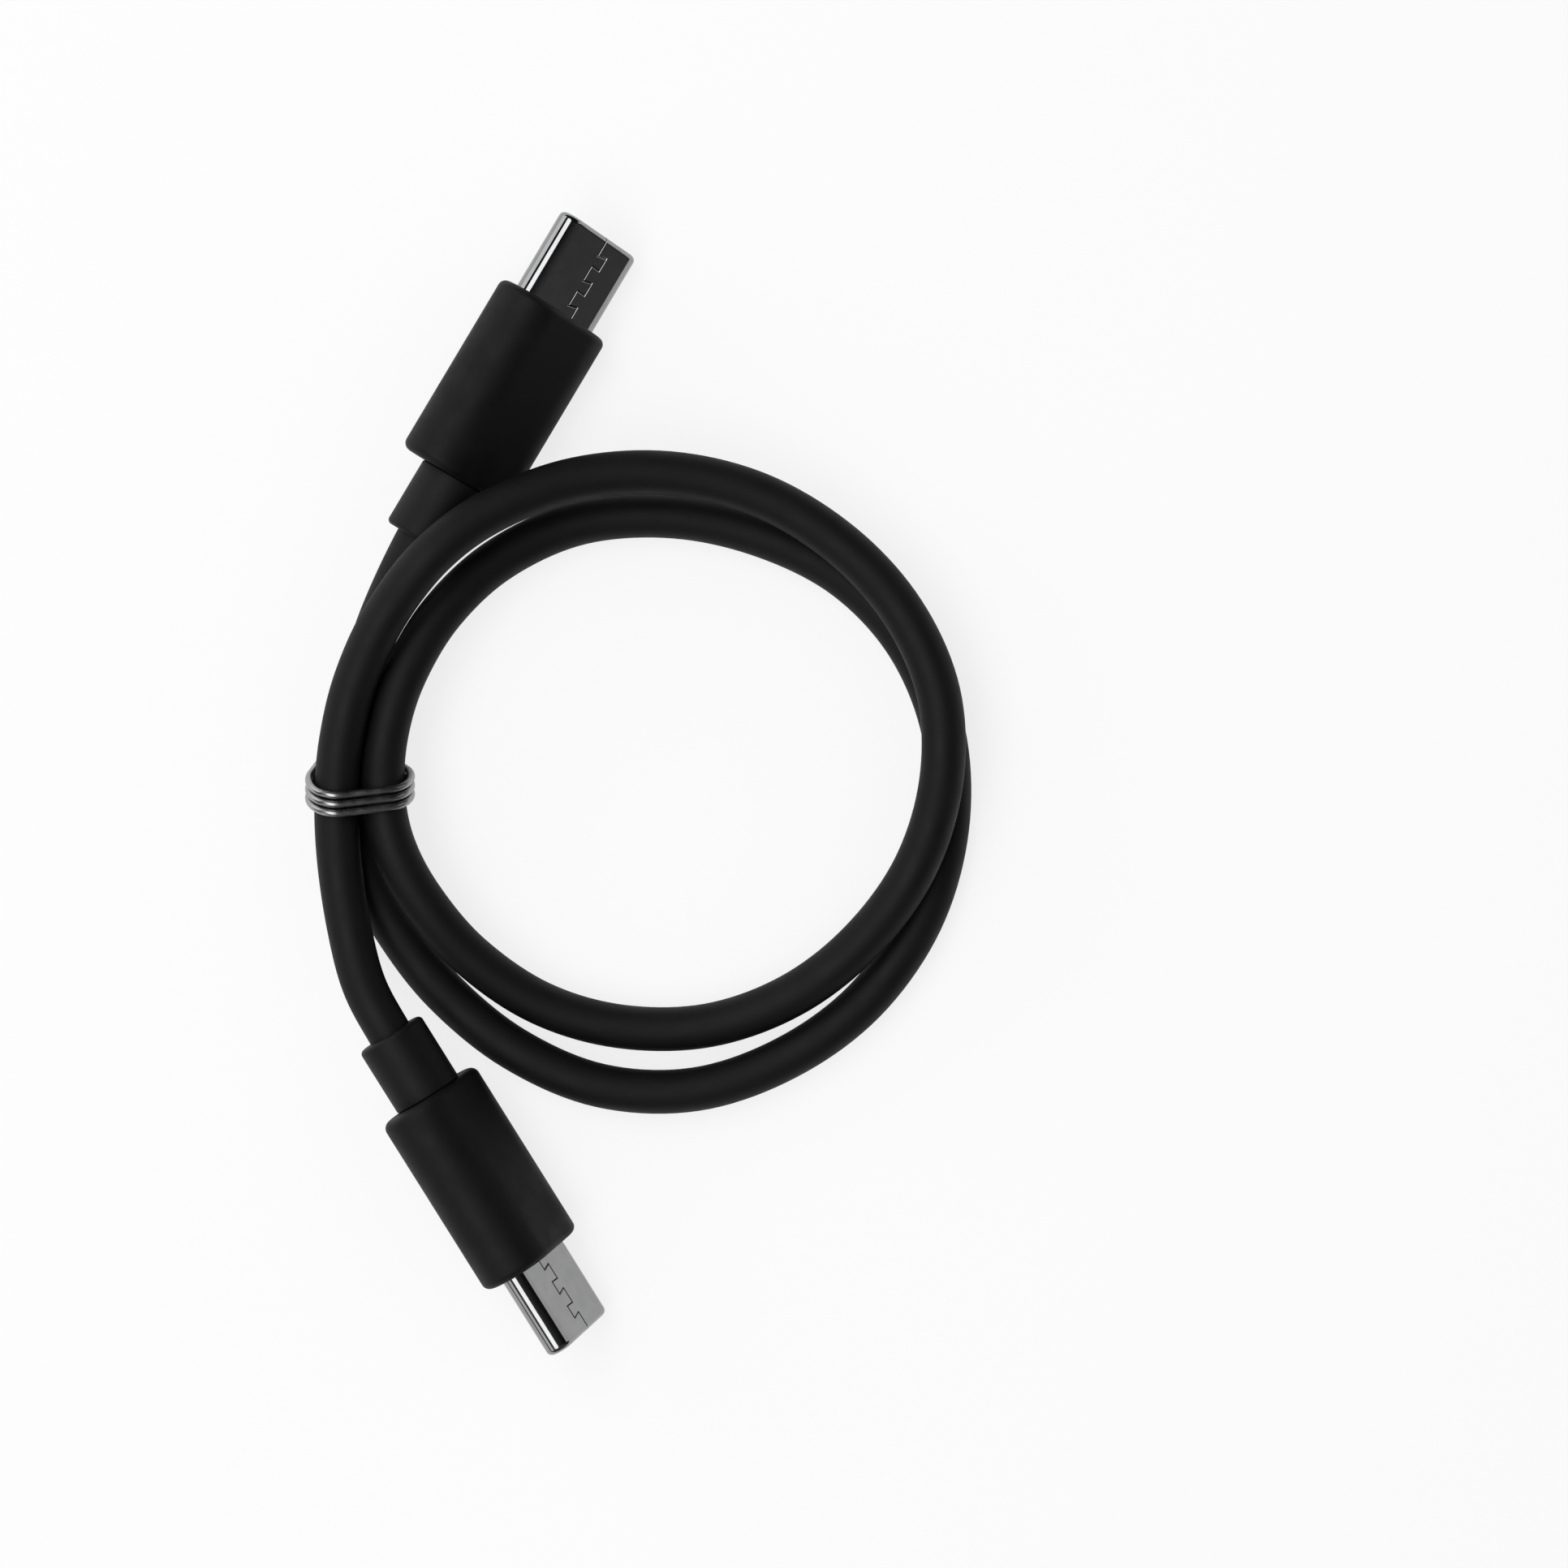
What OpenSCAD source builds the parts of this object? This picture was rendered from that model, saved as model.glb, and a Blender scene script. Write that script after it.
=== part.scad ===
// Charging cable in a round coil, held by a wire tie, with a plug at each end.
// Millimetres. +Z is up, the coil lies on z = 0, and +Y runs from the lower plug to the upper one.
// A plug's own frame has its cord end at the origin and its axis along +Y, with its width along X
// and its thickness along Z.

/* [Cord] */
// Diameter of the cord's jacket
cord_d = 3.5; // [3.3:0.05:3.55]

/* [Plug shell] */
// Width of the steel shell
shell_w = 8.25; // [8:0.05:8.5]
// Thickness of the steel shell
shell_t = 2.4; // [2.3:0.05:2.5]
// Sheet of the steel shell
shell_wall = 0.3; // [0.25:0.05:0.35]
// Length of shell that stands out of the boot
shell_proud = 6.95; // [6:0.05:7.5]
// Length of shell held inside the boot
shell_grip = 4.2; // [3.8:0.1:5]
// Outer radius of the turned-in rim at the mouth
rim_r = 0.45; // [0.4:0.05:0.6]

/* [Shell seam] */
// Gap of the dovetail seam
seam_gap = 0.06; // [0.04:0.01:0.1]
// Place of the seam's middle across the face
seam_x = 0.5; // [-0.5:0.01:0.8]
// Reach of a dovetail tab
seam_tab = 0.9; // [0.5:0.05:1.1]
// Distance from one tab to the next
seam_pitch = 2.25; // [2:0.05:2.6]
// Width of a tab at its root
seam_root = 0.9; // [0.6:0.02:1.1]
// Extra width of a tab at its head, towards the mouth
seam_flare = 0.18; // [0.03:0.01:0.2]
// Extra width of a tab at its head, towards the boot
seam_back_flare = 0.03; // [0.02:0.01:0.15]
// Distance from the mouth to the first tab's middle
seam_first = 2.05; // [1.6:0.05:2.4]

/* [Contact carrier] */
// Length of the carrier
carrier_len = 9.2; // [8:0.1:9.6]
// Wall of the carrier at each side of the slot for the tongue
slot_wall = 0.425; // [0.4:0.005:0.5]
// Height of the slot for the tongue
slot_t = 0.85; // [0.8:0.01:0.95]
// Depth of the slot for the tongue
slot_depth = 5.2; // [4.6:0.1:5.6]

/* [Contacts] */
// Distance from one contact to the next
contact_pitch = 0.5; // [0.45:0.01:0.55]
// Width of a contact
contact_w = 0.25; // [0.2:0.01:0.3]
// Sheet of a contact
contact_t = 0.12; // [0.08:0.01:0.15]
// Length of a contact's tail on the board
contact_tail = 1.2; // [0.8:0.05:1.5]
// Play of a contact in its channel
channel_play = 0.03; // [0.02:0.01:0.06]
// Plastic left between a channel and the ground spring over it
channel_skin = 0.02; // [0.01:0.01:0.05]
// Length of the tail's straight start in the carrier, and of its step up to the beam
tail_lead = 0.6; // [0.4:0.05:0.8]
// Distance from the carrier's face to the contact's bump
bump_setback = 1.5; // [1.3:0.05:1.8]
// Length of the slope up to the bump
bump_ramp = 0.9; // [0.6:0.05:1.2]
// Length of the contact's tip past the bump
tip_len = 0.6; // [0.4:0.05:0.8]
// Dip of the contact's tip below its beam
tip_dip = 0.1; // [0.05:0.01:0.15]
// Reach of the bump into the slot
bump_reach = 0.18; // [0.15:0.01:0.2]

/* [Latch] */
// Sheet of the latch
latch_t = 0.15; // [0.1:0.01:0.2]
// Width of a latch arm
latch_arm = 0.3; // [0.2:0.02:0.34]
// Reach of a latch hook into the slot
latch_hook = 0.3; // [0.15:0.05:0.4]
// Width of the bar that joins the latch arms
latch_bar = 0.6; // [0.4:0.05:0.8]
// Setback of the latch arms behind the carrier's face
latch_setback = 0.8; // [0.5:0.05:0.9]
// Part of an arm's width that shows in the slot
latch_inset = 0.04; // [0.02:0.01:0.08]
// Play of the latch in its pocket
latch_play = 0.01; // [0.01:0.01:0.03]
// Distance from the carrier's face to the hook's front slope
hook_setback = 1; // [0.9:0.05:1.2]
// Length of the hook's front slope, and of its flat top
hook_nose = 0.3; // [0.2:0.05:0.4]
// Length of the hook's back slope
hook_ramp = 0.6; // [0.4:0.05:0.8]

/* [Ground springs] */
// Flat of the shell's bore left at each side of a ground spring
spring_margin = 0.025; // [0.02:0.005:0.2]
// Length of a ground spring
spring_len = 1.3; // [1:0.1:1.6]
// Sheet of a ground spring
spring_t = 0.1; // [0.06:0.01:0.12]
// Distance from the carrier's face to a ground spring
spring_setback = 0.5; // [0.4:0.05:0.7]
// Width of a ground spring's finger
finger_w = 0.6; // [0.4:0.05:0.7]
// Reach of a finger into the slot
finger_reach = 0.06; // [0.03:0.01:0.1]

/* [Board] */
// Width of the circuit board
board_w = 6.4; // [6:0.1:7]
// Length of the circuit board
board_len = 6.6; // [6:0.1:7]
// Thickness of the circuit board
board_t = 0.6; // [0.4:0.05:0.7]
// Length of the capacitor
cap_len = 1; // [0.8:0.1:1.2]
// Width and height of the capacitor
cap_w = 0.5; // [0.3:0.05:0.6]
// Distance from the capacitor to the board's side edge
cap_inset = 0.4; // [0.2:0.05:0.6]
// Distance from the capacitor to the pads
cap_gap = 1; // [0.6:0.1:1.4]
// Length of the soldering pads for the wires
pad_len = 1.4; // [1:0.1:1.8]

/* [Conductors] */
// Diameter of an insulated wire
conductor_d = 0.6; // [0.5:0.05:0.65]
// Radius of the circle that the wires leave the jacket on
conductor_ring = 0.7; // [0.65:0.01:0.75]
// Play between the wires and the hole in the shield can
conductor_play = 0.1; // [0.05:0.05:0.2]
// Straight length of a wire before the board's edge
conductor_lead = 0.3; // [0.2:0.05:0.4]

/* [Shield can and ferrule] */
// Sheet of the shield can
can_wall = 0.2; // [0.15:0.01:0.25]
// Length of the can that laps over the shell
can_lap = 2.2; // [1.5:0.1:2.6]
// Sheet of the crimp ferrule
ferrule_wall = 0.15; // [0.1:0.01:0.2]
// Length of the crimp ferrule
ferrule_len = 2.15; // [1.6:0.05:2.4]

/* [Boot] */
// Filling at each side of the shield can
mould_side = 0.325; // [0.2:0.005:0.6]
// Filling over the ferrule
mould_face = 0.65; // [0.1:0.01:0.8]
// Length of the boot
boot_len = 15.4; // [14.3:0.1:17]
// Side wall of the boot
boot_wall = 0.6; // [0.4:0.05:0.65]
// Front wall of the boot, round the shell
boot_front_wall = 1.2; // [1:0.1:1.5]
// Back wall of the boot, round the neck
boot_back_wall = 0.8; // [0.6:0.05:1.2]
// Radius of the boot's front edge
boot_front_r = 0.6; // [0.4:0.1:1.5]
// Radius of the boot's back edge
boot_back_r = 0.7; // [0.3:0.1:1]

/* [Strain relief] */
// Wall of the collar round the cord
relief_wall = 1.05; // [0.65:0.05:1.2]
// Length of the collar
relief_len = 5.7; // [4.5:0.05:7]
// Radius of the collar's cord edge
relief_r = 0.4; // [0.2:0.05:0.6]
// Wall of the neck inside the boot's back wall
neck_wall = 0.35; // [0.3:0.05:0.5]

/* [Wire tie] */
// Diameter of the tie's bare wire
tie_d = 0.6; // [0.5:0.05:0.7]
// Number of turns
tie_turns = 3; // [2:1:4]
// Distance from one turn to the next
tie_pitch = 0.7; // [0.7:0.02:0.9]
// Play between the wire and the strands
tie_play = 0.15; // [0.12:0.01:0.2]
// Lean of the turns, in degrees
tie_lean = 28; // [0:1:30]
// Height over the lowest strand's middle that the turns lean about
tie_pivot = 2; // [0:0.1:4]

/* [Plug positions] */
// Heading of the upper plug's axis, in degrees from +Y
upper_heading = -30.8; // [-34:0.1:-28]
// Roll of the upper plug, in degrees
upper_roll = 44; // [30:1:50]
// Fall of the upper plug towards its mouth, in degrees
upper_fall = 0; // [0:0.5:2]
// Heading of the lower plug's axis, in degrees from +Y
lower_heading = -148.2; // [-151:0.1:-145]
// Roll of the lower plug, in degrees
lower_roll = -61; // [-70:1:-50]
// Fall of the lower plug towards its mouth, in degrees
lower_fall = 3; // [0:0.5:5]

/* [Hidden] */
$fn = 48;

// Overshoot of every cut past the face it opens
over = 0.5;
// Sides of a swept tube
tube_sides = 8;

// Middle of the coil in the part's frame
coil_at = [0.354, 0.064, 0];
// Cord ends of the two strain reliefs, from the middle of the coil
upper_cord_end = [-17.9, 19.15];
lower_cord_end = [-19.95, -19.75];

// Stations along a plug's axis, from the cord end of its strain relief
mould_back = relief_len + boot_back_wall;
boot_front = relief_len + boot_len;
mouth = boot_front + shell_proud;
shell_back = boot_front - shell_grip;
shell_len = shell_grip + shell_proud;
mould_front = boot_front - boot_front_wall;
can_back = mould_back + ferrule_len;
can_front = shell_back + can_lap;
carrier_front = mouth - shell_wall;
carrier_back = carrier_front - carrier_len;
board_back = carrier_back - board_len;
slot_end = carrier_front - slot_depth;

// Section sizes shared by neighbours
bore_w = shell_w - 2 * shell_wall;
bore_t = shell_t - 2 * shell_wall;
bore_r = rim_r - shell_wall;
can_w = shell_w + 2 * can_wall;
can_t = shell_t + 2 * can_wall;
ferrule_d = cord_d + 2 * ferrule_wall;
mould_w = can_w + 2 * mould_side;
mould_t = max(ferrule_d, can_t) + 2 * mould_face;
boot_w = mould_w + 2 * boot_wall;
boot_t = mould_t + 2 * boot_wall;
neck_d = cord_d + 2 * neck_wall;
relief_d = cord_d + 2 * relief_wall;
slot_w = bore_w - 2 * slot_wall;
spring_w = bore_w - bore_t - 2 * spring_margin;

// Contact positions in use in each row, of the twelve that the slot has
near_row = [1, 4, 5, 6, 7, 9, 12];
far_row = [1, 4, 5, 9, 12];
row_middle = 6.5;
// Height of a contact's beam in its channel, and of its bump in the slot
beam_z = bore_t / 2 - spring_t - channel_skin - channel_play - contact_t / 2;
bump_z = slot_t / 2 - bump_reach + contact_t / 2;

// The three strands where the tie binds them, as [x, z] from the middle of the coil
strand_low = [-23.03, 2.58];
strand_out = [-24.11, 6.09];
strand_in = [-20.54, 5.27];
tie_y = 0.25;
tie_steps = 24;

// Rings of the cord between its two collars
cord_rings = 76;
// Length of a collar that steers the cord's first bend
cord_lead = 5;

// The cord's route from the upper plug to the lower one, from the middle of the coil.
// It passes the tie three times: low, then inside, then outside.
cord_route = [
    [-20.25, 14.35, 4.09], [-21.77, 10.38, 3.19], [-22.7, 6.02, 2.64], [-23.03, 1.27, 2.57],
    [-22.87, -3.39, 2.52], [-22.06, -7.28, 2.28], [-19.77, -11.72, 1.98], [-15.95, -16.66, 1.8],
    [-10.4, -21.17, 1.76], [-3.56, -24.09, 1.76], [4, -24.38, 1.77], [11.2, -21.9, 1.76],
    [17.4, -17.4, 1.76], [21.9, -11, 1.76], [24, -3.6, 1.76], [23.7, 4, 1.76], [20.9, 10.9, 1.76],
    [16, 16.2, 1.76], [9.6, 19.5, 1.76], [2.39, 21.11, 1.76], [-5.06, 20.63, 1.93],
    [-11.37, 17.76, 2.92], [-15.91, 13.46, 4.49], [-18.87, 8.42, 5.35], [-20.33, 3.62, 5.15],
    [-20.55, -0.87, 5.29], [-19.68, -5.07, 5.39], [-17.46, -9.29, 4.81], [-13.76, -13.72, 3.48],
    [-8.37, -17.48, 2.32], [-2.02, -19.38, 1.86], [5, -19.3, 1.95], [11.6, -16.9, 2.7],
    [17.1, -12.6, 3.9], [21.3, -6.8, 5], [23.4, 0, 5.4], [23.2, 7, 5.4], [20.4, 13.4, 5.4],
    [15.6, 18.7, 5.3], [9.2, 22.6, 5.5], [2.01, 24.3, 5.9], [-5.27, 23.8, 6.56], [-11.67, 21.34, 7.8],
    [-16.36, 17.88, 8.7], [-20.11, 13.14, 8], [-22.54, 8.08, 7], [-23.75, 3.2, 6.51],
    [-24.15, -1.31, 6.02], [-23.98, -6, 5.77], [-23.22, -11.22, 5.73], [-22.02, -15.88, 5.82]
];

// Geometry helpers

function unit(v) = v / norm(v);
function backwards(list) = [for (i = [len(list) - 1 : -1 : 0]) list[i]];
function on_coil(p) = p + coil_at;

// Direction of a plug's axis, towards its mouth
function axis_of(heading, fall) = [-sin(heading) * cos(fall), cos(heading) * cos(fall), -sin(fall)];

// Height of a rolled and falling plug's cord end, so that its boot just touches z = 0
function rest_height(roll, fall) = let(
    half_high = (boot_w - boot_t) / 2 * abs(sin(roll)) + boot_t / 2
) (boot_front - boot_front_r) * sin(fall) + (half_high - boot_front_r) * cos(fall) + boot_front_r;

// The smooth curve through a list of points, at a place counted in points from its start
function between(a, b, c, d, t) = b + t / 2 * (c - a) + t * t * (a - 2.5 * b + 2 * c - d / 2)
    + t * t * t * (1.5 * (b - c) + (d - a) / 2);
function on_curve(list, place) = let(last = len(list) - 1, i = min(floor(place), last - 1))
    between(list[max(i - 1, 0)], list[i], list[i + 1], list[min(i + 2, last)], place - i);

// Rings square to a path, each with its corners counted from the side towards the reference direction
function heading_at(path, i) = unit(path[min(i + 1, len(path) - 1)] - path[max(i - 1, 0)]);
function ring(at, along, across, r) = let(side = unit(cross(along, across)), lift = cross(side, along))
    [for (k = [0 : tube_sides - 1]) let(turn = 360 * k / tube_sides)
        at + r * (cos(turn) * side + sin(turn) * lift)];

// A round tube swept along a path, closed at both ends
module tube(path, d, across = [0, 0, 1]) {
    n = tube_sides;
    last = len(path) - 1;
    points = [for (i = [0 : last]) each ring(path[i], heading_at(path, i), across, d / 2)];
    sides = [for (i = [0 : last - 1], k = [0 : n - 1])
        [i * n + k, i * n + (k + 1) % n, (i + 1) * n + (k + 1) % n, (i + 1) * n + k]];
    caps = [backwards([for (k = [0 : n - 1]) k]), [for (k = [0 : n - 1]) last * n + k]];
    polyhedron(points = points, faces = concat(sides, caps), convexity = 10);
}

// Half of a bar's side view: radius along X, length along Y, with an edge radius at each end
module half_view(half, length, r_near, r_far) {
    difference() {
        square([half, length]);
        if (r_near > 0) translate([half - r_near, r_near]) mirror([0, 1]) edge_cut(r_near);
        if (r_far > 0) translate([half - r_far, length - r_far]) edge_cut(r_far);
    }
}

// What an edge radius takes off a square corner
module edge_cut(r) {
    difference() {
        square(r + over);
        circle(r);
    }
}

// A bar with round sides along +Y, centred on the axis: two turned ends and a prism between them
module round_bar(w, t, length, r_near = 0, r_far = 0) {
    for (side = [-1, 1])
        translate([side * (w - t) / 2, 0, 0]) turned_bar(t, length, r_near, r_far);
    rotate([90, 0, 90]) linear_extrude(w - t, center = true) {
        for (flip = [0, 1])
            mirror([0, flip]) rotate(90) mirror([0, 1]) half_view(t / 2, length, r_near, r_far);
    }
}

// A turned bar along +Y
module turned_bar(d, length, r_near = 0, r_far = 0) {
    rotate([-90, 0, 0]) rotate_extrude() half_view(d / 2, length, r_near, r_far);
}

// Points beside a polyline at a signed distance, with mitred corners
function normal(a, b) = let(d = b - a) [-d.y, d.x] / norm(d);
function beside(line, far) = [for (i = [0 : len(line) - 1]) let(
    before = normal(line[max(i - 1, 0)], line[max(i, 1)]),
    after = normal(line[min(i, len(line) - 2)], line[min(i + 1, len(line) - 1)]),
    sum = before + after
) line[i] + 2 * far * sum / (sum * sum)];

// A flat strip of even width along a polyline
module strip(line, width) {
    polygon(concat(beside(line, width / 2), backwards(beside(line, -width / 2))));
}

// Plug pieces, in the plug's own frame

// Folded steel tube with a turned-in rim, and the seam where its two edges meet
module shell() {
    color("silver") difference() {
        translate([0, shell_back, 0]) round_bar(shell_w, shell_t, shell_len, 0, rim_r);
        translate([0, shell_back - over, 0])
            round_bar(bore_w, bore_t, shell_len + over - shell_wall, 0, bore_r);
        translate([0, carrier_front - over, 0])
            round_bar(shell_w - 2 * rim_r, shell_t - 2 * rim_r, shell_wall + 2 * over);
        translate([0, 0, bore_t / 2 - over])
            linear_extrude(shell_wall + 2 * over) strip(seam_line(), seam_gap);
    }
}

// The seam from the mouth to the back edge, round each dovetail tab
function seam_line() = let(
    left = seam_x - seam_tab / 2,
    right = seam_x + seam_tab / 2,
    root = seam_root / 2,
    head = root + seam_flare,
    back = root + seam_back_flare,
    tabs = floor((shell_len - seam_first - head) / seam_pitch)
) concat(
    [[left, mouth + over]],
    [for (k = [0 : tabs]) let(y = mouth - seam_first - k * seam_pitch)
        each [[left, y + root], [right, y + head], [right, y - back], [left, y - root]]],
    [[left, shell_back - over]]
);

// Moulded insulator that fills the shell's bore
module contact_carrier() {
    color("#202022") difference() {
        translate([0, carrier_back, 0]) round_bar(bore_w, bore_t, carrier_len, 0, bore_r);
        translate([-slot_w / 2, slot_end, -slot_t / 2]) cube([slot_w, slot_depth + over, slot_t]);
        rows() channel();
        contacts();
        latch_sheet(latch_play);
        ground_springs();
    }
}

// Puts its child at each contact in use, in both rows
module rows() {
    for (n = near_row) translate([(n - row_middle) * contact_pitch, 0, 0]) children();
    for (n = far_row) rotate([0, 180, 0]) translate([(n - row_middle) * contact_pitch, 0, 0]) children();
}

// Room for one contact's beam beside the slot
module channel() {
    width = contact_w + 2 * channel_play;
    top = beam_z + contact_t / 2 + channel_play;
    translate([-width / 2, slot_end, 0]) cube([width, slot_depth - over, top]);
}

// Stamped contacts: tail on the board, beam in the carrier, bump near the mouth
module contacts() {
    color("gold") rows() translate([-contact_w / 2, 0, 0]) rotate([90, 0, 90]) linear_extrude(contact_w)
        strip(contact_line(), contact_t);
}

function contact_line() = let(tail_z = board_t / 2 + contact_t / 2, bump_y = carrier_front - bump_setback) [
    [carrier_back - contact_tail, tail_z],
    [carrier_back + tail_lead, tail_z],
    [carrier_back + 2 * tail_lead, beam_z],
    [bump_y - bump_ramp, beam_z],
    [bump_y, bump_z],
    [bump_y + tip_len, beam_z - tip_dip]
];

// U-shaped spring in the carrier's middle plane, with a hook at each side of the slot
module latch() {
    color("gainsboro") latch_sheet();
}

// The latch's sheet, or its pocket where it has play all round
module latch_sheet(play = 0) {
    half = latch_side(play);
    linear_extrude(latch_t + 2 * play, center = true)
        polygon(concat(half, [for (p = backwards(half)) [-p.x, p.y]]));
}

// One half of the latch's outline: its bar, its arm and the hook near the arm's end
function latch_side(play) = let(
    outer = slot_w / 2 + latch_arm - latch_inset + play,
    inner = outer - latch_arm - 2 * play,
    hook = slot_w / 2 - latch_hook - play,
    back = carrier_back - play,
    bar_front = carrier_back + latch_bar + play,
    arm_front = carrier_front - latch_setback + play,
    hook_front = carrier_front - hook_setback + play,
    hook_back = hook_front - 2 * (hook_nose + play)
) [
    [0, bar_front], [inner, bar_front],
    [inner, hook_back - hook_ramp], [hook, hook_back], [hook, hook_front - hook_nose], [inner, hook_front],
    [inner, arm_front], [outer, arm_front], [outer, back], [0, back]
];

// Two plates in the carrier's faces, each with two fingers that reach into the slot
module ground_springs() {
    near = carrier_front - spring_setback - spring_len;
    finger_z = slot_t / 2 - finger_reach;
    finger_x = 4 * contact_pitch;
    color("silver") for (turn = [0, 180]) rotate([0, turn, 0]) {
        translate([-spring_w / 2, near, bore_t / 2 - spring_t]) cube([spring_w, spring_len, spring_t]);
        for (side = [-1, 1])
            translate([side * finger_x - finger_w / 2, near + spring_len / 4, finger_z])
                cube([finger_w, spring_len / 2, bore_t / 2 - spring_t / 2 - finger_z]);
    }
}

// Circuit board behind the carrier, between the two rows of tails
module board() {
    color("seagreen") translate([-board_w / 2, board_back, -board_t / 2]) cube([board_w, board_len, board_t]);
}

// Bypass capacitor on the board
module capacitor() {
    color("tan") translate([board_w / 2 - cap_inset - cap_len, board_back + pad_len + cap_gap, board_t / 2])
        cube([cap_len, cap_w, cap_w]);
}

// Drawn can round the shell's back end and the board, with a hole for the wires
module shield_can() {
    hole_d = 2 * (conductor_ring + conductor_play) + conductor_d;
    color("lightgray") difference() {
        translate([0, can_back, 0]) round_bar(can_w, can_t, can_front - can_back);
        translate([0, can_back + can_wall, 0]) round_bar(shell_w, shell_t, can_front - can_back);
        translate([0, can_back - over, 0]) turned_bar(hole_d, can_wall + 2 * over);
    }
}

// Crimp ring on the jacket's end
module ferrule() {
    color("lightgray") difference() {
        translate([0, mould_back, 0]) turned_bar(ferrule_d, ferrule_len);
        translate([0, mould_back - over, 0]) turned_bar(cord_d, ferrule_len + 2 * over);
    }
}

// Wires from the jacket's end to the pads: three on the board's near face and two on its far face.
// Each entry is [angle on the jacket's circle, place across the board in wire diameters, face].
wires = [[150, -3.4, 1], [90, 0, 1], [30, 3.4, 1], [240, -1.8, -1], [300, 1.8, -1]];
wire_colours = ["red", "white", "green", "black", "blue"];

module conductors() {
    for (i = [0 : len(wires) - 1]) color(wire_colours[i]) tube(wire_path(wires[i]), conductor_d);
}

function wire_path(w) = let(
    out = conductor_ring * [cos(w[0]), sin(w[0])],
    pad = [w[1] * conductor_d, w[2] * (board_t + conductor_d) / 2]
) [
    [out.x, can_back, out.y], [out.x, can_back + 2 * can_wall, out.y],
    [pad.x, board_back - conductor_lead, pad.y], [pad.x, board_back + pad_len, pad.y]
];

// Filling round the can, the shell's back end and the ferrule
module inner_mould() {
    color("dimgray") difference() {
        translate([0, mould_back, 0]) round_bar(mould_w, mould_t, mould_front - mould_back);
        translate([0, can_back, 0]) round_bar(can_w, can_t, can_front - can_back);
        translate([0, can_back + over, 0]) round_bar(shell_w, shell_t, mould_front - can_back);
        translate([0, mould_back - over, 0]) turned_bar(ferrule_d, ferrule_len + over);
    }
}

// Satin housing with round sides, closed round the shell in front and round the neck behind
module boot() {
    color("#262628") difference() {
        translate([0, relief_len, 0]) round_bar(boot_w, boot_t, boot_len, boot_back_r, boot_front_r);
        translate([0, mould_back, 0]) round_bar(mould_w, mould_t, mould_front - mould_back);
        translate([0, mould_front - over, 0]) round_bar(shell_w, shell_t, boot_front_wall + 2 * over);
        translate([0, relief_len - over, 0]) turned_bar(neck_d, boot_back_wall + 2 * over);
    }
}

// Collar on the cord, with a neck through the boot's back wall
module strain_relief() {
    color("#262628") difference() {
        union() {
            turned_bar(relief_d, relief_len, relief_r, 0);
            translate([0, relief_len - over, 0]) turned_bar(neck_d, boot_back_wall + over);
        }
        translate([0, -over, 0]) turned_bar(cord_d, mould_back + 2 * over);
    }
}

// Cable pieces, in the part's frame

upper_end = on_coil([each upper_cord_end, rest_height(upper_roll, upper_fall)]);
lower_end = on_coil([each lower_cord_end, rest_height(lower_roll, lower_fall)]);
upper_axis = axis_of(upper_heading, upper_fall);
lower_axis = axis_of(lower_heading, lower_fall);

module on_upper() {
    translate(upper_end) rotate([0, 0, upper_heading]) rotate([-upper_fall, 0, 0]) rotate([0, upper_roll, 0])
        children();
}

module on_lower() {
    translate(lower_end) rotate([0, 0, lower_heading]) rotate([-lower_fall, 0, 0]) rotate([0, lower_roll, 0])
        children();
}

// One length from the upper plug's can to the lower plug's can, straight inside each plug
module cord() {
    route = concat(
        [upper_end + cord_lead * upper_axis, upper_end], [for (p = cord_route) on_coil(p)],
        [lower_end, lower_end + cord_lead * lower_axis]
    );
    stretches = len(route) - 3;
    bends = [for (i = [0 : cord_rings - 1]) on_curve(route, 1 + stretches * i / (cord_rings - 1))];
    color("#1b1b1d")
        tube(concat([upper_end + can_back * upper_axis], bends, [lower_end + can_back * lower_axis]), cord_d);
}

// Bare wire wound round the three strands
module wire_tie() {
    path = [for (i = [0 : tie_turns * tie_steps]) on_coil(tie_point(i / tie_steps))];
    color("silver") tube(path, tie_d, [0, 1, 0]);
}

// A turn follows the outline of the three strands at an even distance, starting and ending underneath
function tie_point(turn) = let(
    way = [cos(360 * turn - 90), sin(360 * turn - 90)],
    reach = (cord_d + tie_d) / 2 + tie_play,
    strands = [strand_low, strand_out, strand_in],
    far = max([for (s = strands) s * way]),
    strand = [for (s = strands) if (s * way >= far) s][0],
    at = strand + reach * way,
    lean = tan(tie_lean) * (at.y - strand_low.y - tie_pivot)
) [at.x, tie_y + tie_pitch * (turn - tie_turns / 2) - lean, at.y];

cord();
wire_tie();
on_upper() shell();  // upper_plug_shell
on_upper() contact_carrier();  // upper_plug_contact_carrier
on_upper() contacts();  // upper_plug_contacts
on_upper() latch();  // upper_plug_latch
on_upper() ground_springs();  // upper_plug_ground_springs
on_upper() board();  // upper_plug_board
on_upper() capacitor();  // upper_plug_capacitor
on_upper() shield_can();  // upper_plug_shield_can
on_upper() ferrule();  // upper_plug_ferrule
on_upper() conductors();  // upper_plug_conductors
on_upper() inner_mould();  // upper_plug_inner_mould
on_upper() boot();  // upper_plug_boot
on_upper() strain_relief();  // upper_plug_strain_relief
on_lower() shell();  // lower_plug_shell
on_lower() contact_carrier();  // lower_plug_contact_carrier
on_lower() contacts();  // lower_plug_contacts
on_lower() latch();  // lower_plug_latch
on_lower() ground_springs();  // lower_plug_ground_springs
on_lower() board();  // lower_plug_board
on_lower() capacitor();  // lower_plug_capacitor
on_lower() shield_can();  // lower_plug_shield_can
on_lower() ferrule();  // lower_plug_ferrule
on_lower() conductors();  // lower_plug_conductors
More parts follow.
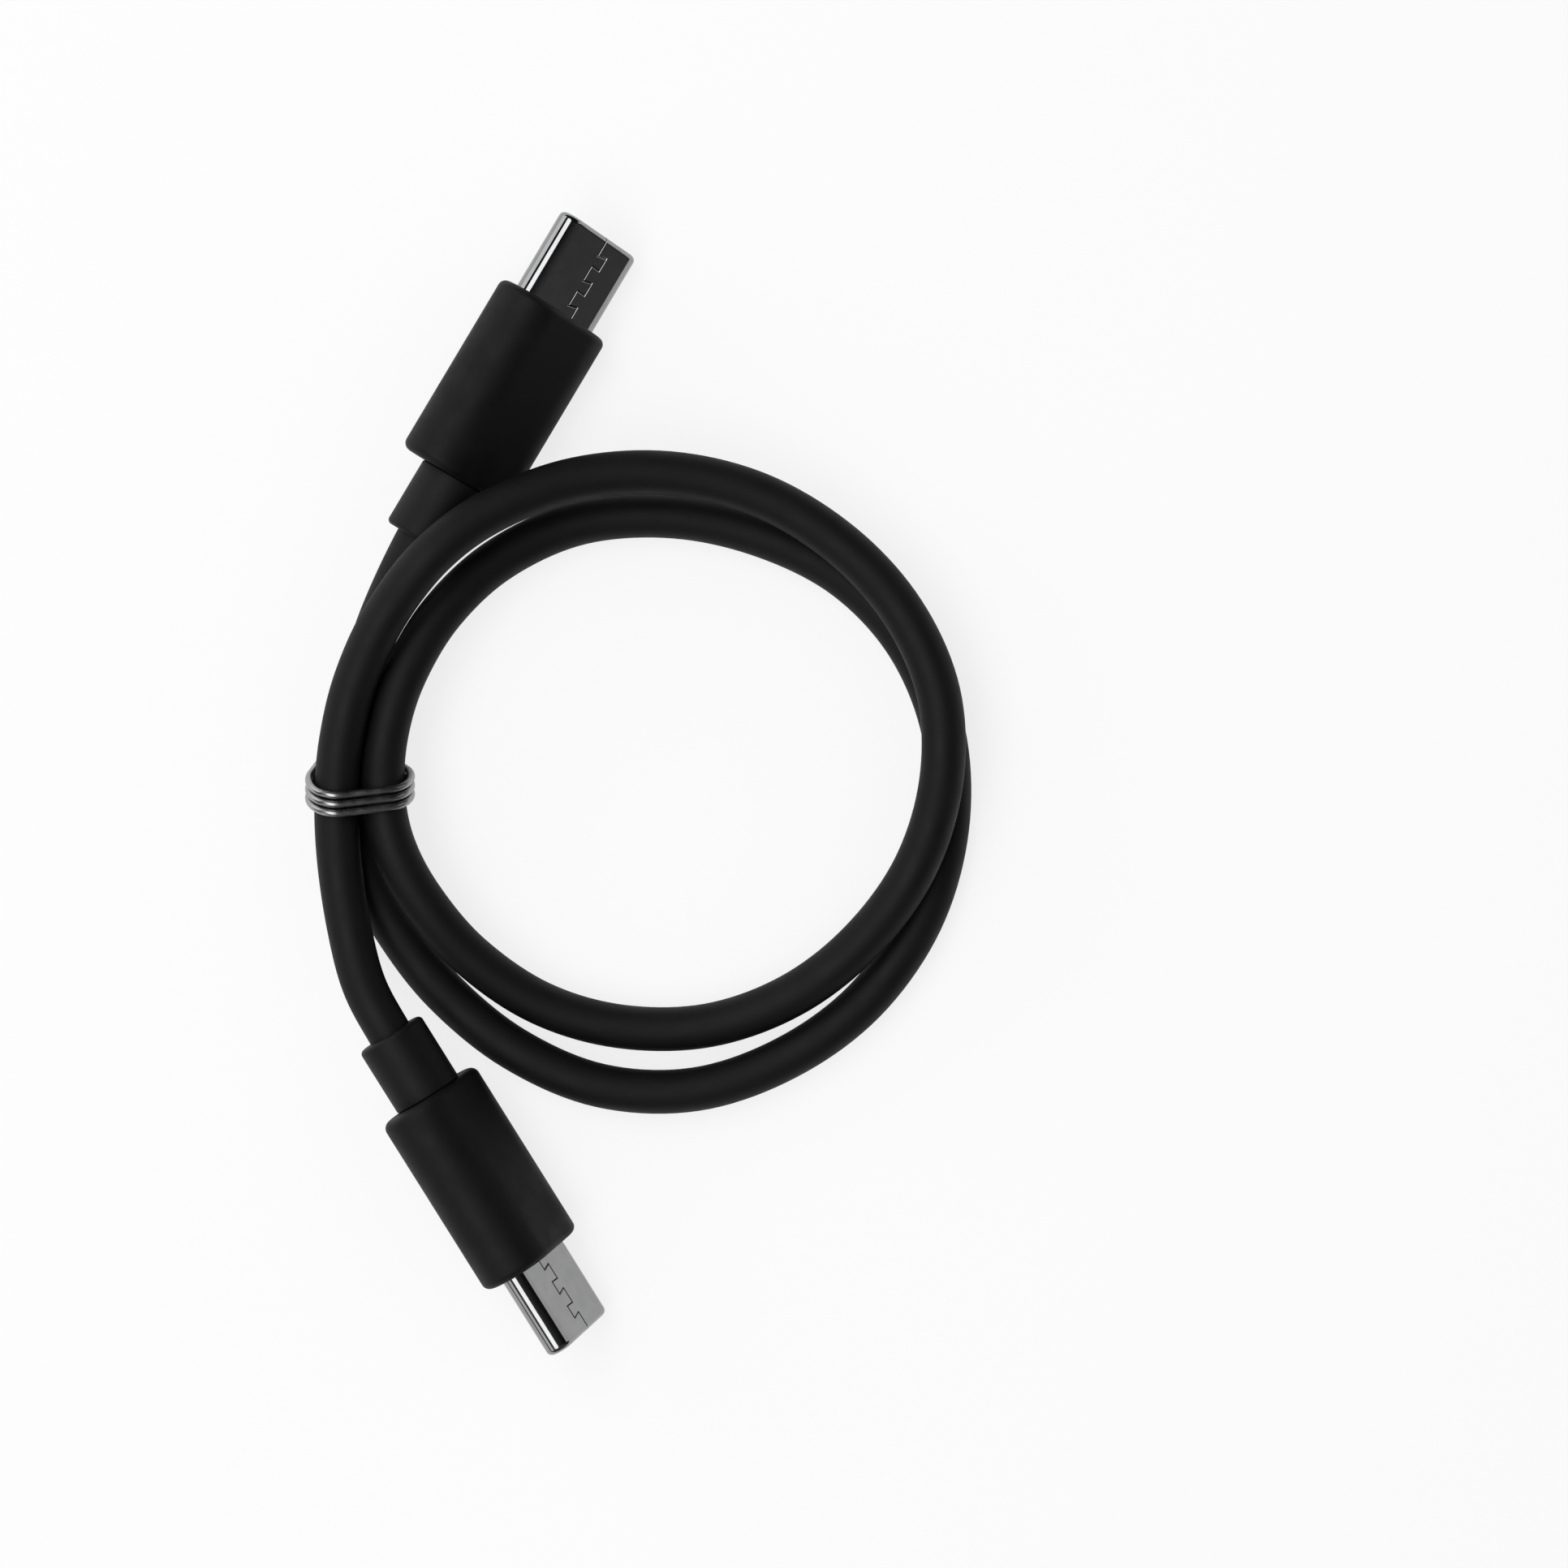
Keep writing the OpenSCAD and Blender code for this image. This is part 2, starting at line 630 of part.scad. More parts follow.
on_lower() inner_mould();  // lower_plug_inner_mould
on_lower() boot();  // lower_plug_boot
on_lower() strain_relief();  // lower_plug_strain_relief
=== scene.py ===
"""Studio scene of a short charging cable in a round coil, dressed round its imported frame.

Metres, in the frame of the CAD: +Z is up, the coil lies on z = 0 and +Y runs from the lower plug to the
upper one. A plug's own frame has its cord end at the origin, its axis along +Y, its width along X and its
thickness along Z.
"""
import logging
import math
from dataclasses import dataclass, field
from enum import Enum

import bpy
import numpy as np
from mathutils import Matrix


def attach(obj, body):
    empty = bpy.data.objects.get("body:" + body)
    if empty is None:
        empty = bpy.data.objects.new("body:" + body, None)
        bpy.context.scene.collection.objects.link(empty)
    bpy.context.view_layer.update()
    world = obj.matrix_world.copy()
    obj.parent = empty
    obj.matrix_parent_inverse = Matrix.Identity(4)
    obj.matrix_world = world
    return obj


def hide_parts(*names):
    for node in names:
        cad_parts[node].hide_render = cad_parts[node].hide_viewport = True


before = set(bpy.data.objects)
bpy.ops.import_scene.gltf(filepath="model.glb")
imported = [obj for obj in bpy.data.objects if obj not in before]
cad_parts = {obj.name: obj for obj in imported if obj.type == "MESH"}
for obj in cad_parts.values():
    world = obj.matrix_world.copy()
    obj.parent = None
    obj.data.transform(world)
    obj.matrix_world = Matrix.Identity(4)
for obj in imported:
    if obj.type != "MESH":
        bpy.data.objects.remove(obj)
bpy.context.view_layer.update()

MM = 0.001
LOG = logging.getLogger("cable")

# Degrees between two faces past which their edge stays sharp, on a built surface and on a cut one
CREASE = 32.0
CUT_CREASE = 20.0

# Noise values between which a patch goes from the low end of a finish's range to its high end
PATCH_RANGE = (0.3, 0.7)

ALONG_Y = np.array([0.0, 1.0, 0.0])
UP = np.array([0.0, 0.0, 1.0])


def mm(*values: float) -> np.ndarray:
    """Lengths written in millimetres, as metres."""
    return np.array(values, float) * MM


# Middle of the coil on the table, and where the camera aims from there
COIL_CENTRE = mm(0.354, 0.064, 0.0)
CAMERA_AIM = mm(11.03, -0.13, 0.0)


# Surfaces


def outward(points: np.ndarray, faces: list[tuple[int, ...]]) -> list[tuple[int, ...]]:
    """Faces turned so that a closed surface points outwards.

    The signed volume is the sum over triangles of a . (b x c) / 6, which is negative for a shape inside out.

    Args:
        points: Vertices, one row each.
        faces: Vertex numbers of each face.

    Returns:
        The faces, all reversed if the volume was negative.
    """
    triangles = np.array([(f[0], f[i], f[i + 1]) for f in faces for i in range(1, len(f) - 1)])
    a, b, c = (points[triangles[:, i]] for i in range(3))
    volume = float(np.einsum("ij,ij->i", a, np.cross(b, c)).sum()) / 6
    return faces if volume > 0 else [f[::-1] for f in faces]


def grid_faces(rows: int, columns: int, ring: bool) -> list[tuple[int, ...]]:
    """Four-sided faces of a grid whose columns close on themselves.

    Args:
        rows: Number of rows of points.
        columns: Number of points in a row.
        ring: Whether the last row joins the first; otherwise each end row is closed by one flat face.

    Returns:
        Vertex numbers of each face, for points numbered row by row.
    """
    last = rows if ring else rows - 1
    i, k = (a.ravel() for a in np.meshgrid(np.arange(last), np.arange(columns), indexing="ij"))
    j, m = (i + 1) % rows, (k + 1) % columns
    sides = np.stack([i * columns + k, i * columns + m, j * columns + m, j * columns + k], axis=1)
    faces = [tuple(f) for f in sides.tolist()]
    if not ring:
        faces += [tuple(range(columns))[::-1], tuple(range((rows - 1) * columns, rows * columns))]
    return faces


def surface(name: str, grid: np.ndarray, ring: bool = False) -> bpy.types.Object:
    """A closed piece from a grid of points.

    Args:
        name: Name of the piece.
        grid: Points as (rows, columns, 3); the columns close on themselves.
        ring: Whether the rows close too, as on a hollow wall.

    Returns:
        The object, at the origin, smooth where its faces meet at less than a crease.
    """
    points = grid.reshape(-1, 3)
    faces = outward(points, grid_faces(grid.shape[0], grid.shape[1], ring))
    return piece(name, points, faces)


def piece(name: str, points: np.ndarray, faces: list[tuple[int, ...]]) -> bpy.types.Object:
    """An object from points and faces, smooth shaded with its creases kept.

    Args:
        name: Name of the piece.
        points: Vertices, one row each.
        faces: Vertex numbers of each face.

    Returns:
        The object, at the origin and linked to the scene.
    """
    mesh = bpy.data.meshes.new(name)
    mesh.from_pydata(points.tolist(), [], faces)
    mesh.validate()
    smooth(mesh)
    made = bpy.data.objects.new(name, mesh)
    bpy.context.scene.collection.objects.link(made)
    return made


def smooth(mesh: bpy.types.Mesh, crease: float = CREASE) -> None:
    """Shades a mesh smooth, apart from edges sharper than crease degrees."""
    mesh.shade_smooth()
    mesh.set_sharp_from_angle(angle=math.radians(crease))


def cut(blank: bpy.types.Object, cutter: bpy.types.Object) -> None:
    """Takes the cutter's volume off the blank and removes the cutter.

    Args:
        blank: The object that is cut.
        cutter: A closed object that reaches past the blank.
    """
    saw = blank.modifiers.new("cut", "BOOLEAN")
    saw.operation, saw.solver, saw.object = "DIFFERENCE", "EXACT", cutter
    seen = blank.evaluated_get(bpy.context.evaluated_depsgraph_get())
    cut_mesh = bpy.data.meshes.new_from_object(seen)
    blank.modifiers.clear()
    blank.data = cut_mesh
    smooth(cut_mesh, CUT_CREASE)
    bpy.data.objects.remove(cutter)


def arc(centre: tuple[float, float], radius: float, start: float, end: float, steps: int) -> np.ndarray:
    """Points on an arc of a profile, as (radius from the spine, station) rows.

    Args:
        centre: Middle of the arc.
        radius: Radius of the arc.
        start: First angle in degrees, from the outward direction towards the mouth.
        end: Last angle in degrees.
        steps: Number of steps between them.

    Returns:
        steps + 1 points: centre + radius (cos a, sin a).
    """
    a = np.radians(np.linspace(start, end, steps + 1))
    return np.stack([centre[0] + radius * np.cos(a), centre[1] + radius * np.sin(a)], axis=1)


def round_bar(profile: np.ndarray, half: np.ndarray, arc_steps: int, flat_steps: int) -> np.ndarray:
    """A bar with two flat faces and full-round sides, drawn along +Y.

    A row is a stadium: every point lies at the row's radius from a straight spine of that half length
    along X, so x = side half + r cos a and z = r sin a, with side from 1 to -1 across the flats.

    Args:
        profile: (radius, station) rows, metres.
        half: Half length of the spine for each row, metres.
        arc_steps: Steps round each side.
        flat_steps: Steps across each flat.

    Returns:
        Points as (rows, columns, 3).
    """
    round_side = np.linspace(-90.0, 90.0, arc_steps + 1)
    across = np.linspace(1.0, -1.0, flat_steps + 1)[1:-1]
    flat = np.ones(len(across))
    angle = np.concatenate([round_side, 90 * flat, round_side + 180, 270 * flat])
    side = np.concatenate([np.ones(arc_steps + 1), across, -np.ones(arc_steps + 1), -across])
    a = np.radians(angle)
    r, y = profile[:, 0:1], profile[:, 1:2]
    x = side * half[:, None] + r * np.cos(a)
    return np.stack([x, np.broadcast_to(y, x.shape), r * np.sin(a)], axis=2)


def lathe(profile: np.ndarray, steps: int) -> np.ndarray:
    """A turned shape about the Y axis: each row of the profile becomes a circle.

    Args:
        profile: (radius, station) rows, metres.
        steps: Steps round the circle.

    Returns:
        Points as (rows, columns, 3).
    """
    a = np.linspace(0.0, 2 * np.pi, steps, endpoint=False)
    r, y = profile[:, 0:1], profile[:, 1:2]
    x = r * np.cos(a)
    return np.stack([x, np.broadcast_to(y, x.shape), r * np.sin(a)], axis=2)


def unit(v: np.ndarray) -> np.ndarray:
    """Vectors along the last axis at length one."""
    return v / np.linalg.norm(v, axis=-1, keepdims=True)


def tube(path: np.ndarray, radius: np.ndarray, sides: int, across: np.ndarray) -> np.ndarray:
    """A round tube along a path.

    Ring i is path[i] + r (cos a side + sin a lift), where side is square to the path and to the across
    direction, and lift is square to both.

    Args:
        path: Ring centres, one row each.
        radius: Radius of each ring.
        sides: Points round a ring.
        across: Direction that the rings are counted from.

    Returns:
        Points as (rings, sides, 3).
    """
    along = unit(np.gradient(path, axis=0))
    side = unit(np.cross(along, across))
    lift = np.cross(side, along)
    a = np.linspace(0.0, 2 * np.pi, sides, endpoint=False)[None, :, None]
    offset = np.cos(a) * side[:, None] + np.sin(a) * lift[:, None]
    return path[:, None] + radius[:, None, None] * offset


def spline(points: np.ndarray, places: np.ndarray) -> np.ndarray:
    """The smooth curve through points, at places counted in points from the first.

    Between b and c, with neighbours a and d, it is b + t (c - a) / 2 + t^2 (a - 2.5 b + 2 c - d / 2)
    + t^3 (1.5 (b - c) + (d - a) / 2).

    Args:
        points: Points to pass through, with one more before the first place and one after the last.
        places: Where on the curve; 1.5 is halfway between the second point and the third.

    Returns:
        One point for each place.
    """
    i = np.minimum(np.floor(places).astype(int), len(points) - 3)
    t = (places - i)[:, None]
    a, b, c, d = (points[i + k] for k in (-1, 0, 1, 2))
    return b + t / 2 * (c - a) + t**2 * (a - 2.5 * b + 2 * c - d / 2) + t**3 * (1.5 * (b - c) + (d - a) / 2)


def turn_about(axis: int, degrees: float) -> np.ndarray:
    """The matrix that turns points about one of the axes.

    Args:
        axis: X (0), Y (1) or Z (2).
        degrees: The angle.

    Returns:
        The 3 x 3 matrix.
    """
    c, s = math.cos(math.radians(degrees)), math.sin(math.radians(degrees))
    matrix = np.eye(3)
    j, k = (axis + 1) % 3, (axis + 2) % 3
    matrix[j, j], matrix[j, k], matrix[k, j], matrix[k, k] = c, -s, s, c
    return matrix


# Material nodes


def noise(tree: bpy.types.NodeTree, where: bpy.types.NodeSocket, size: float) -> bpy.types.NodeSocket:
    """Adds a noise texture.

    Args:
        tree: Node tree that gets the node.
        where: Coordinates that it reads.
        size: Size of its features, metres.

    Returns:
        Its grey output.
    """
    node = tree.nodes.new("ShaderNodeTexNoise")
    node.inputs["Scale"].default_value = 1 / size
    tree.links.new(where, node.inputs["Vector"])
    return node.outputs["Fac"]


def remap(
    tree: bpy.types.NodeTree,
    value: bpy.types.NodeSocket,
    source: tuple[float, float],
    target: tuple[float, float],
) -> bpy.types.NodeSocket:
    """Maps a value from one range to another.

    Args:
        tree: Node tree that gets the node.
        value: The value, as a socket.
        source: Its range.
        target: What the ends of that range become.

    Returns:
        The mapped value, as a socket.
    """
    node = tree.nodes.new("ShaderNodeMapRange")
    node.inputs["From Min"].default_value, node.inputs["From Max"].default_value = source
    node.inputs["To Min"].default_value, node.inputs["To Max"].default_value = target
    tree.links.new(value, node.inputs["Value"])
    return node.outputs["Result"]


def combined(
    tree: bpy.types.NodeTree,
    operation: str,
    first: bpy.types.NodeSocket,
    second: bpy.types.NodeSocket | float,
) -> bpy.types.NodeSocket:
    """Joins two values in a math node.

    Args:
        tree: Node tree that gets the node.
        operation: What the node does with them.
        first: A value, as a socket.
        second: A value, as a socket or a number.

    Returns:
        The result, as a socket.
    """
    node = tree.nodes.new("ShaderNodeMath")
    node.operation = operation
    tree.links.new(first, node.inputs[0])
    if isinstance(second, float):
        node.inputs[1].default_value = second
    else:
        tree.links.new(second, node.inputs[1])
    return node.outputs[0]


# Finishes


@dataclass(frozen=True)
class Finish:
    """One material: a base shade with mottling, a roughness that varies, and a fine grain in relief.

    The mottle is the share by which the colour goes down and up, and the sizes and the depth are in metres.
    """

    name: str
    colour: tuple[float, float, float]
    mottle: float = 0.1
    roughness: tuple[float, float] = (0.4, 0.5)
    metallic: float = 0.0
    specular: float = 0.5
    patch_size: float = 2.0 * MM
    grain_size: float = 0.12 * MM
    grain_depth: float = 0.004 * MM

    def material(self) -> bpy.types.Material:
        """Builds the node material.

        Returns:
            A Principled material on Object coordinates: large noise mottles the colour and the roughness,
            and a fine grain goes to the bump.
        """
        made = bpy.data.materials.new(self.name)
        made.use_nodes = True
        tree = made.node_tree
        shader = tree.nodes["Principled BSDF"]
        shader.inputs["Metallic"].default_value = self.metallic
        shader.inputs["Specular IOR Level"].default_value = self.specular
        where = tree.nodes.new("ShaderNodeTexCoord").outputs["Object"]
        patches = noise(tree, where, self.patch_size)
        grain = noise(tree, where, self.grain_size)
        shades = tree.nodes.new("ShaderNodeValToRGB")
        shares = (1 - self.mottle, 1 + self.mottle)
        for stop, position, share in zip(shades.color_ramp.elements, PATCH_RANGE, shares):
            stop.position = position
            stop.color = (*[c * share for c in self.colour], 1)
        tree.links.new(patches, shades.inputs["Fac"])
        tree.links.new(shades.outputs["Color"], shader.inputs["Base Color"])
        tree.links.new(remap(tree, patches, PATCH_RANGE, self.roughness), shader.inputs["Roughness"])
        relief = tree.nodes.new("ShaderNodeBump")
        relief.inputs["Distance"].default_value = self.grain_depth
        tree.links.new(grain, relief.inputs["Height"])
        tree.links.new(relief.outputs["Normal"], shader.inputs["Normal"])
        return made


JACKET = Finish(
    "cord_jacket", (0.0035, 0.0035, 0.0037), 0.15, (0.58, 0.66), specular=0.29, grain_size=0.09 * MM,
)
BOOT = Finish(
    "boot_plastic", (0.003, 0.003, 0.0032), 0.12, (0.54, 0.66), specular=0.27, grain_size=0.1 * MM,
)
COLLAR = Finish(
    "collar_plastic", (0.003, 0.003, 0.0032), 0.12, (0.56, 0.62), specular=0.28, grain_size=0.1 * MM,
)
SHELL = Finish(
    "shell_steel", (0.31, 0.312, 0.316), 0.05, (0.05, 0.09), 1.0, patch_size=1.2 * MM,
    grain_size=0.2 * MM, grain_depth=0.0002 * MM,
)
WIRE = Finish(
    "tie_wire", (0.38, 0.38, 0.385), 0.08, (0.25, 0.35), 1.0, patch_size=0.8 * MM,
    grain_size=0.25 * MM, grain_depth=0.002 * MM,
)
INSULATOR = Finish("insulator", (0.012, 0.012, 0.013), 0.1, (0.38, 0.46), grain_size=0.06 * MM)
GOLD = Finish(
    "gold_contact", (0.86, 0.62, 0.26), 0.05, (0.14, 0.22), 1.0, patch_size=0.5 * MM,
    grain_size=0.05 * MM, grain_depth=0.0004 * MM,
)
SPRING = Finish(
    "spring_steel", (0.66, 0.66, 0.67), 0.05, (0.2, 0.3), 1.0, patch_size=0.5 * MM,
    grain_size=0.06 * MM, grain_depth=0.0006 * MM,
)
BOARD = Finish(
    "circuit_board", (0.012, 0.075, 0.03), 0.2, (0.22, 0.32), patch_size=0.7 * MM, grain_size=0.1 * MM,
)
CERAMIC = Finish("capacitor_ceramic", (0.42, 0.3, 0.19), 0.1, (0.4, 0.5), grain_size=0.05 * MM)
TINNED = Finish(
    "tinned_sheet", (0.6, 0.61, 0.62), 0.08, (0.25, 0.4), 1.0, patch_size=1.2 * MM,
    grain_size=0.1 * MM, grain_depth=0.001 * MM,
)
INSULATION = Finish("wire_insulation", (0.32, 0.03, 0.03), 0.25, (0.35, 0.45), patch_size=1.5 * MM)
FILLING = Finish("filling_compound", (0.09, 0.09, 0.09), 0.2, (0.55, 0.7), grain_depth=0.01 * MM)


# The plugs


class Side(Enum):
    """The two plugs, by their names in the CAD's nodes."""

    UPPER = "upper"
    LOWER = "lower"


@dataclass(frozen=True)
class Seat:
    """How a plug lies: its cord end in millimetres from the coil's middle, and its turns in degrees."""

    cord_end: tuple[float, float]
    heading: float
    roll: float
    fall: float

    def turned(self) -> np.ndarray:
        """The matrix from the plug's own directions to the row frame's: roll, then fall, then heading."""
        return turn_about(2, self.heading) @ turn_about(0, -self.fall) @ turn_about(1, self.roll)

    def axis(self) -> np.ndarray:
        """Direction of the plug's axis, towards its mouth."""
        return self.turned() @ ALONG_Y


UPPER_SEAT = Seat((-17.9, 19.15), -30.8, 44.0, 0.0)
LOWER_SEAT = Seat((-19.95, -19.75), -148.2, -61.0, 3.0)


@dataclass(frozen=True)
class Steps:
    """How finely a plug's surfaces are divided; pairs are steps round each side and across each flat."""

    boot_back: int = 10
    boot_side: int = 16
    boot_front: int = 16
    boot_round: tuple[int, int] = (32, 12)
    collar_edge: int = 8
    collar_round: int = 64
    rim: int = 14
    lip: int = 5
    shell_round: tuple[int, int] = (28, 8)


@dataclass
class Plug:
    """One plug: steel shell, boot and collar as fine pieces, round the CAD's own inside."""

    side: Side
    seat: Seat
    centre: np.ndarray
    cord_d: float = 3.5 * MM
    shell_w: float = 8.25 * MM
    shell_t: float = 2.4 * MM
    shell_wall: float = 0.3 * MM
    shell_proud: float = 6.95 * MM
    shell_grip: float = 4.2 * MM
    rim_r: float = 0.45 * MM
    rim_turn: float = 82.0
    rim_lead: float = 0.02 * MM
    lip_r: float = 0.06 * MM
    boot_w: float = 10.5 * MM
    boot_t: float = 6.3 * MM
    boot_len: float = 15.4 * MM
    boot_wall: float = 0.6 * MM
    boot_front_wall: float = 1.2 * MM
    boot_back_wall: float = 0.8 * MM
    boot_front_r: float = 0.6 * MM
    boot_back_r: float = 0.7 * MM
    collar_d: float = 5.6 * MM
    collar_len: float = 5.7 * MM
    collar_r: float = 0.4 * MM
    collar_chamfer: float = 0.12 * MM
    neck_d: float = 4.2 * MM
    can_back: float = 8.65 * MM
    seam_gap: float = 0.06 * MM
    seam_edge: tuple[float, float] = (0.03 * MM, 0.045 * MM)
    seam_roll: tuple[float, float] = (0.03 * MM, 0.015 * MM)
    seam_x: float = 0.5 * MM
    seam_tab: float = 0.9 * MM
    seam_pitch: float = 2.25 * MM
    seam_root: float = 0.9 * MM
    seam_flare: float = 0.18 * MM
    seam_back_flare: float = 0.03 * MM
    seam_first: float = 2.05 * MM
    seam_overrun: float = 0.5 * MM
    seam_under: float = 0.05 * MM
    steps: Steps = Steps()
    made: list[bpy.types.Object] = field(default_factory=list)

    @property
    def boot_front(self) -> float:
        """Station of the boot's front face."""
        return self.collar_len + self.boot_len

    @property
    def mouth(self) -> float:
        """Station of the shell's mouth."""
        return self.boot_front + self.shell_proud

    @property
    def shell_back(self) -> float:
        """Station of the shell's back edge, inside the boot."""
        return self.boot_front - self.shell_grip

    def end(self) -> np.ndarray:
        """Middle of the collar's cord end, at the height where the boot just touches z = 0.

        The rolled boot's lowest line is (w - t) / 2 |sin roll| + t / 2 below its axis, and the fall brings
        its front edge down to the table.

        Returns:
            The point in the row frame.
        """
        roll, fall = math.radians(self.seat.roll), math.radians(self.seat.fall)
        high = (self.boot_w - self.boot_t) / 2 * abs(math.sin(roll)) + self.boot_t / 2
        edge = self.boot_front_r
        z = (self.boot_front - edge) * math.sin(fall) + (high - edge) * math.cos(fall) + edge
        return self.centre + np.array([*mm(*self.seat.cord_end), z])

    def laid(self, grid: np.ndarray) -> np.ndarray:
        """A grid of the plug's own points, in the row frame."""
        return grid @ self.seat.turned().T + self.end()

    def node(self, part: str) -> str:
        """Name of one of this plug's CAD nodes."""
        return f"{self.side.value}_plug_{part}"

    def keep(self, made: bpy.types.Object, part: str, finish: bpy.types.Material) -> None:
        """Dresses a piece that stands for a CAD node, and lets it ride.

        Args:
            made: The piece.
            part: Name of the node, without its plug.
            finish: The material.
        """
        made.data.materials.append(finish)
        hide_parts(self.node(part))
        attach(made, "root")
        self.made.append(made)

    def boot(self, finish: bpy.types.Material) -> None:
        """The boot: a hollow bar with rounded edges, closed round the neck and round the shell.

        Its profile runs round the wall: out of the neck's hole, over the back edge, along the side, over the
        front edge to the shell, and back along the inside.

        Args:
            finish: The boot's material.
        """
        outer = self.boot_t / 2
        inner = outer - self.boot_wall
        back, front = self.collar_len, self.boot_front
        back_r, front_r = self.boot_back_r, self.boot_front_r
        hole, neck = self.shell_t / 2, self.neck_d / 2
        steps = self.steps
        rows = [
            np.array([[neck, back]]),
            arc((outer - back_r, back + back_r), back_r, -90, 0, steps.boot_back),
            np.linspace([outer, back + back_r], [outer, front - front_r], steps.boot_side)[1:-1],
            arc((outer - front_r, front - front_r), front_r, 0, 90, steps.boot_front),
            np.array([
                [hole, front],
                [hole, front - self.boot_front_wall],
                [inner, front - self.boot_front_wall],
                [inner, back + self.boot_back_wall],
                [neck, back + self.boot_back_wall],
            ]),
        ]
        profile = np.concatenate(rows)
        spine = (self.boot_w - self.boot_t) / 2
        half = np.full(len(profile), spine)
        half[0] = half[-1] = 0.0
        half[-5:-3] = (self.shell_w - self.shell_t) / 2
        grid = round_bar(profile, half, *steps.boot_round)
        made = surface(f"{self.side.value}_boot", self.laid(grid), ring=True)
        self.keep(made, "boot", finish)

    def collar(self, finish: bpy.types.Material) -> None:
        """The collar: a turned sleeve with a rounded cord edge, a small chamfer at the boot, and its neck.

        Args:
            finish: The collar's material.
        """
        outer, neck, bore = self.collar_d / 2, self.neck_d / 2, self.cord_d / 2
        back = self.collar_len
        rows = [
            np.array([[bore, 0.0]]),
            arc((outer - self.collar_r, self.collar_r), self.collar_r, -90, 0, self.steps.collar_edge),
            np.array([
                [outer, back - self.collar_chamfer],
                [outer - self.collar_chamfer, back],
                [neck, back],
                [neck, back + self.boot_back_wall],
                [bore, back + self.boot_back_wall],
            ]),
        ]
        grid = lathe(np.concatenate(rows), self.steps.collar_round)
        made = surface(f"{self.side.value}_collar", self.laid(grid), ring=True)
        self.keep(made, "strain_relief", finish)

    def shell(self, finish: bpy.types.Material) -> None:
        """The shell: a folded tube with a turned-in rim, and the dovetail seam cut through its upper face.

        Args:
            finish: The shell's material.
        """
        outer = self.shell_t / 2
        bore = outer - self.shell_wall
        lip = outer - self.rim_r
        mouth, back = self.mouth, self.shell_back
        steps = self.steps
        rows = [
            np.array([[bore, back], [outer, back], [outer, mouth - self.rim_r - self.rim_lead]]),
            arc((lip, mouth - self.rim_r), self.rim_r, 0, self.rim_turn, steps.rim),
            arc((lip + self.lip_r, mouth - self.lip_r), self.lip_r, 90, 180, steps.lip),
            np.array([[lip, mouth - self.shell_wall], [bore, mouth - self.shell_wall]]),
        ]
        profile = np.concatenate(rows)
        half = np.full(len(profile), (self.shell_w - self.shell_t) / 2)
        made = surface(f"{self.side.value}_shell", round_bar(profile, half, *steps.shell_round), ring=True)
        cut(made, self.seam_cutter())
        points = np.empty(len(made.data.vertices) * 3)
        made.data.vertices.foreach_get("co", points)
        made.data.vertices.foreach_set("co", self.laid(points.reshape(-1, 3)).ravel())
        made.data.update()
        self.keep(made, "shell", finish)

    def seam_line(self) -> np.ndarray:
        """The seam on the upper face, round each dovetail tab.

        Returns:
            Its corners as (x, y), from past the mouth to past the back edge.
        """
        left, right = (self.seam_x + k * self.seam_tab / 2 for k in (-1, 1))
        root = self.seam_root / 2
        head, back = root + self.seam_flare, root + self.seam_back_flare
        tabs = int((self.shell_grip + self.shell_proud - self.seam_first - head) / self.seam_pitch) + 1
        line = [(left, self.mouth + self.seam_overrun)]
        for k in range(tabs):
            y = self.mouth - self.seam_first - k * self.seam_pitch
            line += [(left, y + root), (right, y + head), (right, y - back), (left, y - root)]
        return np.array([*line, (left, self.shell_back - self.seam_overrun)])

    def seam_cutter(self) -> bpy.types.Object:
        """The seam's gap with softened edges: the line widened at each height, and the outlines joined.

        From the gap outwards the edge rises by a steep bevel, then by a flat one that runs on above the face.

        Returns:
            The closed object to cut with.
        """
        top, low = self.shell_t / 2, self.shell_t / 2 - self.shell_wall - self.seam_under
        narrow = self.seam_gap / 2
        edge, edge_deep = self.seam_edge
        roll, roll_deep = self.seam_roll
        levels = [
            (top + roll_deep, narrow + edge + 2 * roll),
            (top - roll_deep, narrow + edge),
            (top - roll_deep - edge_deep, narrow),
            (low, narrow),
        ]
        line = self.seam_line()
        rings = []
        for z, width in levels:
            outline = np.concatenate([beside(line, width), beside(line, -width)[::-1]])
            rings.append(np.column_stack([outline, np.full(len(outline), z)]))
        return surface("seam_cutter", np.stack(rings))

    def inside(self, finishes: dict[str, bpy.types.Material]) -> None:
        """Dresses the plug's CAD nodes inside the boot and the shell.

        Args:
            finishes: The material of each part, by the name of its node without its plug.
        """
        for part, finish in finishes.items():
            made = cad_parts[self.node(part)]
            made.data.materials.clear()
            made.data.materials.append(finish)
            self.made.append(made)


def beside(line: np.ndarray, far: float) -> np.ndarray:
    """Points beside a flat polyline at a signed distance, on the bisector at each corner.

    A corner moves by 2 far s / |s|^2, where s is the sum of the unit normals before and after it.

    Args:
        line: Corners as (x, y) rows.
        far: Distance, positive to the left of the line.

    Returns:
        One point for each corner.
    """
    steps = np.diff(line, axis=0)
    normals = unit(np.column_stack([-steps[:, 1], steps[:, 0]]))
    total = np.concatenate([normals[:1], normals]) + np.concatenate([normals, normals[-1:]])
    return line + 2 * far * total / (total**2).sum(axis=1, keepdims=True)


# Cord and tie


